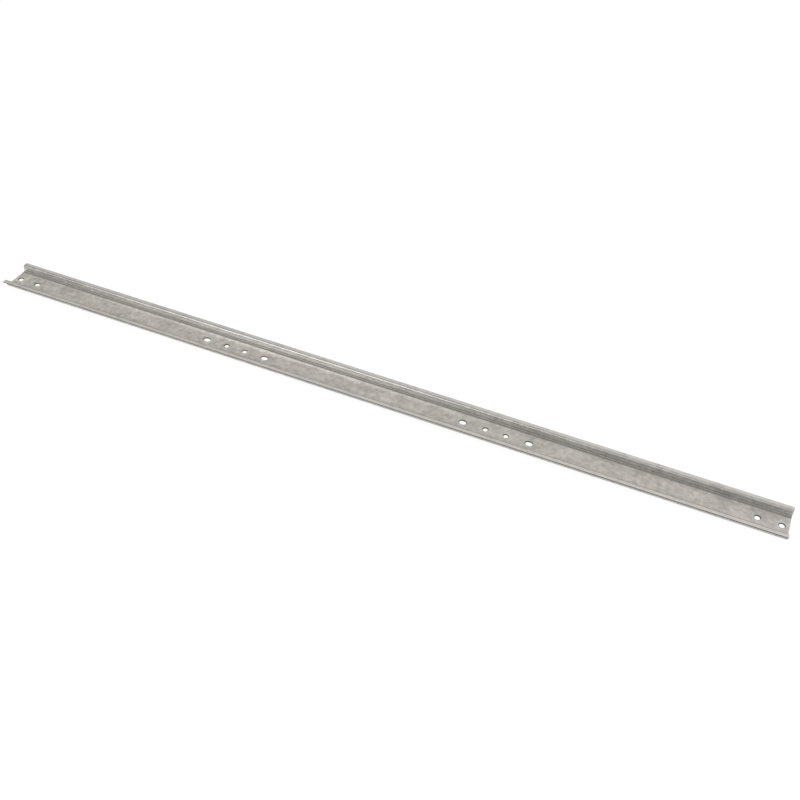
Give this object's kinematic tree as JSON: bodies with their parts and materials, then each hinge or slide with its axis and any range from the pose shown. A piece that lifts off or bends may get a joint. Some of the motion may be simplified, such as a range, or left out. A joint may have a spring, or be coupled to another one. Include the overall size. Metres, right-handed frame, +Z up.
{
  "type": "din rail",
  "caption": "Straight top-hat mounting rail of zinc-coated steel strip, with screw holes and slots in its floor and two flanges that clip-on devices grip.",
  "frame": {"origin": "centre of the underside of the floor, halfway along the rail and halfway across it", "axes": "+X along the rail, +Y across it, +Z up out of the open channel, square to the floor"},
  "size_m": [0.736, 0.035, 0.0075],
  "materials": {
    "galvanised_steel": "zinc-coated, satin"
  },
  "bodies": {
    "root": {"top_hat_rail": "galvanised_steel"}
  },
  "joints": []
}
